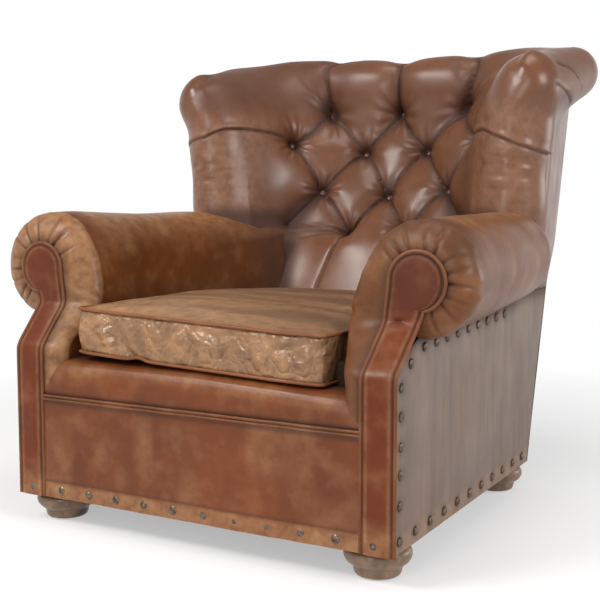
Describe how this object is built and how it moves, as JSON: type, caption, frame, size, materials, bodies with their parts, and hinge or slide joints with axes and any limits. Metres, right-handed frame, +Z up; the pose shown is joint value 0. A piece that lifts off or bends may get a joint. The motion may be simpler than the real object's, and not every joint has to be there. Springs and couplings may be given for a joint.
{
  "type": "tufted leather club armchair",
  "caption": "Deep leather club armchair with a button-tufted winged back, rolled arms, a loose boxed seat cushion, domed nail trim and bun feet.",
  "frame": {"origin": "on the floor under the middle of the bounding box", "axes": "+Z up, -Y towards the front of the seat, +X to the right of someone who faces the chair"},
  "size_m": [1.0502, 1.058, 1.01],
  "materials": {
    "leather_arm": "worn semi-gloss caramel leather",
    "leather_back": "glossy red-brown leather",
    "leather_cushion": "worn olive-tan leather",
    "leather_front": "semi-gloss red-brown leather",
    "leather_welt": "semi-gloss brown leather with worn edges",
    "leather_side": "satin grey-brown leather",
    "frame_wood": "bare planed hardwood",
    "foot_wood": "dark polished wood",
    "padding": "matt upholstery padding",
    "webbing": "woven jute webbing",
    "dust_cloth": "black non-woven cloth",
    "zip_tape": "woven brown zip tape",
    "zip_metal": "aged brass",
    "nail_metal": "antique brass",
    "spring_steel": "bare spring steel",
    "glide_plastic": "black matt plastic",
    "clip_plastic": "white matt plastic"
  },
  "bodies": {
    "chair": {"arm_cover_left": "leather_arm", "arm_cover_right": "leather_arm", "arm_facing_left": "leather_front", "arm_facing_right": "leather_front", "arm_padding_left": "padding", "arm_padding_right": "padding", "arm_rail_left": "frame_wood", "arm_rail_right": "frame_wood", "back_buttons": "leather_back", "back_lower_rail": "frame_wood", "back_nails": "nail_metal", "back_top_rail": "frame_wood", "back_webbing": "webbing", "corner_blocks": "frame_wood", "dust_cover": "dust_cloth", "facing_welt_left": "leather_welt", "facing_welt_right": "leather_welt", "foot_bolts": "spring_steel", "foot_front_left": "foot_wood", "foot_front_right": "foot_wood", "foot_glides": "glide_plastic", "foot_nuts": "spring_steel", "foot_rear_left": "foot_wood", "foot_rear_right": "foot_wood", "front_border": "leather_front", "front_border_welt": "leather_welt", "front_nails": "nail_metal", "front_post_left": "frame_wood", "front_post_right": "frame_wood", "front_rail": "frame_wood", "inside_wing_left": "leather_back", "inside_wing_right": "leather_back", "outside_arm_left": "leather_side", "outside_arm_right": "leather_side", "outside_back": "leather_side", "outside_wing_left": "leather_side", "outside_wing_right": "leather_side", "rear_post_left": "frame_wood", "rear_post_right": "frame_wood", "rear_rail": "frame_wood", "seat_deck": "padding", "seat_front_roll": "leather_front", "seat_springs": "spring_steel", "side_nails_left": "nail_metal", "side_nails_right": "nail_metal", "side_rail_left": "frame_wood", "side_rail_right": "frame_wood", "spring_clips": "clip_plastic", "tufted_back": "leather_back", "wing_post_left": "frame_wood", "wing_post_right": "frame_wood", "wing_rail_left": "frame_wood", "wing_rail_right": "frame_wood"},
    "cushion": {"seat_cushion_cover": "leather_cushion", "seat_cushion_core": "padding", "cushion_piping_top": "leather_welt", "cushion_piping_bottom": "leather_welt", "cushion_zip": "zip_tape"},
    "zip_slider": {"zip_slider": "zip_metal"}
  },
  "joints": [
    {"name": "cushion_lift", "type": "slide", "parent": "chair", "child": "cushion", "axis": [0, 0, 1], "range_m": [0, 0.32]},
    {"name": "zip_slide", "type": "slide", "parent": "cushion", "child": "zip_slider", "axis": [1, 0, 0], "range_m": [0, 0.342]}
  ]
}
